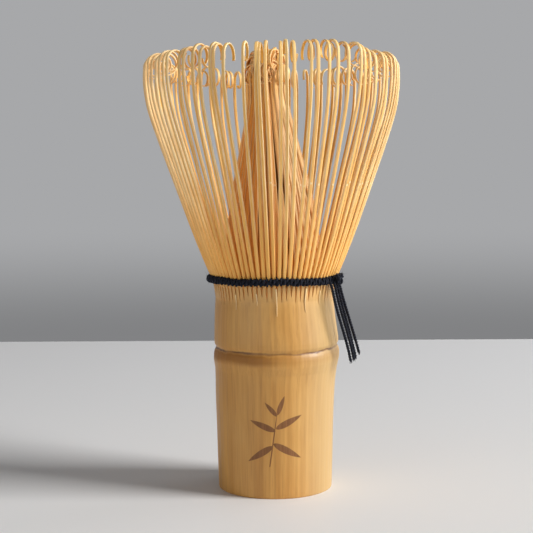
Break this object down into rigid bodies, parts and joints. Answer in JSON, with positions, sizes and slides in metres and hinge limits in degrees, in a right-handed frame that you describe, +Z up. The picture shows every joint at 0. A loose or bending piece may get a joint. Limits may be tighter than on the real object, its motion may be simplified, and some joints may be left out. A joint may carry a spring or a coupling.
{
  "type": "bamboo tea whisk",
  "caption": "Bamboo tea whisk with a turned culm handle, two rings of flexible carved tines with curled tips, and a dark cotton binding thread tied at one side.",
  "frame": {"origin": "centre of the foot, on the surface the whisk stands on", "axes": "+Z up along the culm's axis, towards the tines; front towards -Y, with the thread's knot to the front right"},
  "size_m": [0.063, 0.063, 0.109],
  "materials": {
    "bamboo": "smooth pale bamboo skin, satin, with fine upright fibres",
    "tine_bamboo": "freshly shaved bamboo, satin, straw coloured",
    "thread": "dyed two-ply cotton thread, matt, nearly black navy"
  },
  "bodies": {
    "handle": {"handle": "bamboo", "thread_band": "thread", "thread_knot": "thread", "thread_tail_1": "thread", "thread_tail_2": "thread", "thread_tail_3": "thread", "thread_tail_4": "thread"},
    "outer_01": {"outer_tines_01": "tine_bamboo"},
    "outer_02": {"outer_tines_02": "tine_bamboo"},
    "outer_03": {"outer_tines_03": "tine_bamboo"},
    "outer_04": {"outer_tines_04": "tine_bamboo"},
    "outer_05": {"outer_tines_05": "tine_bamboo"},
    "outer_06": {"outer_tines_06": "tine_bamboo"},
    "outer_07": {"outer_tines_07": "tine_bamboo"},
    "outer_08": {"outer_tines_08": "tine_bamboo"},
    "outer_09": {"outer_tines_09": "tine_bamboo"},
    "outer_10": {"outer_tines_10": "tine_bamboo"},
    "outer_11": {"outer_tines_11": "tine_bamboo"},
    "outer_12": {"outer_tines_12": "tine_bamboo"},
    "outer_13": {"outer_tines_13": "tine_bamboo"},
    "outer_14": {"outer_tines_14": "tine_bamboo"},
    "outer_15": {"outer_tines_15": "tine_bamboo"},
    "outer_16": {"outer_tines_16": "tine_bamboo"},
    "inner_01": {"inner_tines_01": "tine_bamboo"},
    "inner_02": {"inner_tines_02": "tine_bamboo"},
    "inner_03": {"inner_tines_03": "tine_bamboo"},
    "inner_04": {"inner_tines_04": "tine_bamboo"},
    "inner_05": {"inner_tines_05": "tine_bamboo"},
    "inner_06": {"inner_tines_06": "tine_bamboo"},
    "inner_07": {"inner_tines_07": "tine_bamboo"},
    "inner_08": {"inner_tines_08": "tine_bamboo"},
    "inner_09": {"inner_tines_09": "tine_bamboo"},
    "inner_10": {"inner_tines_10": "tine_bamboo"},
    "inner_11": {"inner_tines_11": "tine_bamboo"},
    "inner_12": {"inner_tines_12": "tine_bamboo"},
    "inner_13": {"inner_tines_13": "tine_bamboo"},
    "inner_14": {"inner_tines_14": "tine_bamboo"},
    "inner_15": {"inner_tines_15": "tine_bamboo"},
    "inner_16": {"inner_tines_16": "tine_bamboo"}
  },
  "joints": [
    {"name": "outer_flex_01", "type": "hinge", "parent": "handle", "child": "outer_01", "pos_m": [0, -0.0147, 0.0513], "axis": [1, 0, 0], "range_deg": [-2, 6], "stiffness_Nm_per_rad": 0.02},
    {"name": "outer_flex_02", "type": "hinge", "parent": "handle", "child": "outer_02", "pos_m": [0.00563, -0.01358, 0.0513], "axis": [0.9239, 0.3827, 0], "range_deg": [-2, 6], "stiffness_Nm_per_rad": 0.02},
    {"name": "outer_flex_03", "type": "hinge", "parent": "handle", "child": "outer_03", "pos_m": [0.01039, -0.01039, 0.0513], "axis": [0.7071, 0.7071, 0], "range_deg": [-2, 6], "stiffness_Nm_per_rad": 0.02},
    {"name": "outer_flex_04", "type": "hinge", "parent": "handle", "child": "outer_04", "pos_m": [0.01358, -0.00563, 0.0513], "axis": [0.3827, 0.9239, 0], "range_deg": [-2, 6], "stiffness_Nm_per_rad": 0.02},
    {"name": "outer_flex_05", "type": "hinge", "parent": "handle", "child": "outer_05", "pos_m": [0.0147, 0, 0.0513], "axis": [0, 1, 0], "range_deg": [-2, 6], "stiffness_Nm_per_rad": 0.02},
    {"name": "outer_flex_06", "type": "hinge", "parent": "handle", "child": "outer_06", "pos_m": [0.01358, 0.00563, 0.0513], "axis": [-0.3827, 0.9239, 0], "range_deg": [-2, 6], "stiffness_Nm_per_rad": 0.02},
    {"name": "outer_flex_07", "type": "hinge", "parent": "handle", "child": "outer_07", "pos_m": [0.01039, 0.01039, 0.0513], "axis": [-0.7071, 0.7071, 0], "range_deg": [-2, 6], "stiffness_Nm_per_rad": 0.02},
    {"name": "outer_flex_08", "type": "hinge", "parent": "handle", "child": "outer_08", "pos_m": [0.00563, 0.01358, 0.0513], "axis": [-0.9239, 0.3827, 0], "range_deg": [-2, 6], "stiffness_Nm_per_rad": 0.02},
    {"name": "outer_flex_09", "type": "hinge", "parent": "handle", "child": "outer_09", "pos_m": [0, 0.0147, 0.0513], "axis": [-1, 0, 0], "range_deg": [-2, 6], "stiffness_Nm_per_rad": 0.02},
    {"name": "outer_flex_10", "type": "hinge", "parent": "handle", "child": "outer_10", "pos_m": [-0.00563, 0.01358, 0.0513], "axis": [-0.9239, -0.3827, 0], "range_deg": [-2, 6], "stiffness_Nm_per_rad": 0.02},
    {"name": "outer_flex_11", "type": "hinge", "parent": "handle", "child": "outer_11", "pos_m": [-0.01039, 0.01039, 0.0513], "axis": [-0.7071, -0.7071, 0], "range_deg": [-2, 6], "stiffness_Nm_per_rad": 0.02},
    {"name": "outer_flex_12", "type": "hinge", "parent": "handle", "child": "outer_12", "pos_m": [-0.01358, 0.00563, 0.0513], "axis": [-0.3827, -0.9239, 0], "range_deg": [-2, 6], "stiffness_Nm_per_rad": 0.02},
    {"name": "outer_flex_13", "type": "hinge", "parent": "handle", "child": "outer_13", "pos_m": [-0.0147, 0, 0.0513], "axis": [0, -1, 0], "range_deg": [-2, 6], "stiffness_Nm_per_rad": 0.02},
    {"name": "outer_flex_14", "type": "hinge", "parent": "handle", "child": "outer_14", "pos_m": [-0.01358, -0.00563, 0.0513], "axis": [0.3827, -0.9239, 0], "range_deg": [-2, 6], "stiffness_Nm_per_rad": 0.02},
    {"name": "outer_flex_15", "type": "hinge", "parent": "handle", "child": "outer_15", "pos_m": [-0.01039, -0.01039, 0.0513], "axis": [0.7071, -0.7071, 0], "range_deg": [-2, 6], "stiffness_Nm_per_rad": 0.02},
    {"name": "outer_flex_16", "type": "hinge", "parent": "handle", "child": "outer_16", "pos_m": [-0.00563, -0.01358, 0.0513], "axis": [0.9239, -0.3827, 0], "range_deg": [-2, 6], "stiffness_Nm_per_rad": 0.02},
    {"name": "inner_flex_01", "type": "hinge", "parent": "handle", "child": "inner_01", "pos_m": [0, -0.0125, 0.0513], "axis": [1, 0, 0], "range_deg": [0, 4], "stiffness_Nm_per_rad": 0.01},
    {"name": "inner_flex_02", "type": "hinge", "parent": "handle", "child": "inner_02", "pos_m": [0.00478, -0.01155, 0.0513], "axis": [0.9239, 0.3827, 0], "range_deg": [0, 4], "stiffness_Nm_per_rad": 0.01},
    {"name": "inner_flex_03", "type": "hinge", "parent": "handle", "child": "inner_03", "pos_m": [0.00884, -0.00884, 0.0513], "axis": [0.7071, 0.7071, 0], "range_deg": [0, 4], "stiffness_Nm_per_rad": 0.01},
    {"name": "inner_flex_04", "type": "hinge", "parent": "handle", "child": "inner_04", "pos_m": [0.01155, -0.00478, 0.0513], "axis": [0.3827, 0.9239, 0], "range_deg": [0, 4], "stiffness_Nm_per_rad": 0.01},
    {"name": "inner_flex_05", "type": "hinge", "parent": "handle", "child": "inner_05", "pos_m": [0.0125, 0, 0.0513], "axis": [0, 1, 0], "range_deg": [0, 4], "stiffness_Nm_per_rad": 0.01},
    {"name": "inner_flex_06", "type": "hinge", "parent": "handle", "child": "inner_06", "pos_m": [0.01155, 0.00478, 0.0513], "axis": [-0.3827, 0.9239, 0], "range_deg": [0, 4], "stiffness_Nm_per_rad": 0.01},
    {"name": "inner_flex_07", "type": "hinge", "parent": "handle", "child": "inner_07", "pos_m": [0.00884, 0.00884, 0.0513], "axis": [-0.7071, 0.7071, 0], "range_deg": [0, 4], "stiffness_Nm_per_rad": 0.01},
    {"name": "inner_flex_08", "type": "hinge", "parent": "handle", "child": "inner_08", "pos_m": [0.00478, 0.01155, 0.0513], "axis": [-0.9239, 0.3827, 0], "range_deg": [0, 4], "stiffness_Nm_per_rad": 0.01},
    {"name": "inner_flex_09", "type": "hinge", "parent": "handle", "child": "inner_09", "pos_m": [0, 0.0125, 0.0513], "axis": [-1, 0, 0], "range_deg": [0, 4], "stiffness_Nm_per_rad": 0.01},
    {"name": "inner_flex_10", "type": "hinge", "parent": "handle", "child": "inner_10", "pos_m": [-0.00478, 0.01155, 0.0513], "axis": [-0.9239, -0.3827, 0], "range_deg": [0, 4], "stiffness_Nm_per_rad": 0.01},
    {"name": "inner_flex_11", "type": "hinge", "parent": "handle", "child": "inner_11", "pos_m": [-0.00884, 0.00884, 0.0513], "axis": [-0.7071, -0.7071, 0], "range_deg": [0, 4], "stiffness_Nm_per_rad": 0.01},
    {"name": "inner_flex_12", "type": "hinge", "parent": "handle", "child": "inner_12", "pos_m": [-0.01155, 0.00478, 0.0513], "axis": [-0.3827, -0.9239, 0], "range_deg": [0, 4], "stiffness_Nm_per_rad": 0.01},
    {"name": "inner_flex_13", "type": "hinge", "parent": "handle", "child": "inner_13", "pos_m": [-0.0125, 0, 0.0513], "axis": [0, -1, 0], "range_deg": [0, 4], "stiffness_Nm_per_rad": 0.01},
    {"name": "inner_flex_14", "type": "hinge", "parent": "handle", "child": "inner_14", "pos_m": [-0.01155, -0.00478, 0.0513], "axis": [0.3827, -0.9239, 0], "range_deg": [0, 4], "stiffness_Nm_per_rad": 0.01},
    {"name": "inner_flex_15", "type": "hinge", "parent": "handle", "child": "inner_15", "pos_m": [-0.00884, -0.00884, 0.0513], "axis": [0.7071, -0.7071, 0], "range_deg": [0, 4], "stiffness_Nm_per_rad": 0.01},
    {"name": "inner_flex_16", "type": "hinge", "parent": "handle", "child": "inner_16", "pos_m": [-0.00478, -0.01155, 0.0513], "axis": [0.9239, -0.3827, 0], "range_deg": [0, 4], "stiffness_Nm_per_rad": 0.01}
  ],
  "couplings": [
    {"joint": "outer_flex_02", "follows": "outer_flex_01", "ratio": 1},
    {"joint": "outer_flex_03", "follows": "outer_flex_01", "ratio": 1},
    {"joint": "outer_flex_04", "follows": "outer_flex_01", "ratio": 1},
    {"joint": "outer_flex_05", "follows": "outer_flex_01", "ratio": 1},
    {"joint": "outer_flex_06", "follows": "outer_flex_01", "ratio": 1},
    {"joint": "outer_flex_07", "follows": "outer_flex_01", "ratio": 1},
    {"joint": "outer_flex_08", "follows": "outer_flex_01", "ratio": 1},
    {"joint": "outer_flex_09", "follows": "outer_flex_01", "ratio": 1},
    {"joint": "outer_flex_10", "follows": "outer_flex_01", "ratio": 1},
    {"joint": "outer_flex_11", "follows": "outer_flex_01", "ratio": 1},
    {"joint": "outer_flex_12", "follows": "outer_flex_01", "ratio": 1},
    {"joint": "outer_flex_13", "follows": "outer_flex_01", "ratio": 1},
    {"joint": "outer_flex_14", "follows": "outer_flex_01", "ratio": 1},
    {"joint": "outer_flex_15", "follows": "outer_flex_01", "ratio": 1},
    {"joint": "outer_flex_16", "follows": "outer_flex_01", "ratio": 1},
    {"joint": "inner_flex_02", "follows": "inner_flex_01", "ratio": 1},
    {"joint": "inner_flex_03", "follows": "inner_flex_01", "ratio": 1},
    {"joint": "inner_flex_04", "follows": "inner_flex_01", "ratio": 1},
    {"joint": "inner_flex_05", "follows": "inner_flex_01", "ratio": 1},
    {"joint": "inner_flex_06", "follows": "inner_flex_01", "ratio": 1},
    {"joint": "inner_flex_07", "follows": "inner_flex_01", "ratio": 1},
    {"joint": "inner_flex_08", "follows": "inner_flex_01", "ratio": 1},
    {"joint": "inner_flex_09", "follows": "inner_flex_01", "ratio": 1},
    {"joint": "inner_flex_10", "follows": "inner_flex_01", "ratio": 1},
    {"joint": "inner_flex_11", "follows": "inner_flex_01", "ratio": 1},
    {"joint": "inner_flex_12", "follows": "inner_flex_01", "ratio": 1},
    {"joint": "inner_flex_13", "follows": "inner_flex_01", "ratio": 1},
    {"joint": "inner_flex_14", "follows": "inner_flex_01", "ratio": 1},
    {"joint": "inner_flex_15", "follows": "inner_flex_01", "ratio": 1},
    {"joint": "inner_flex_16", "follows": "inner_flex_01", "ratio": 1}
  ]
}
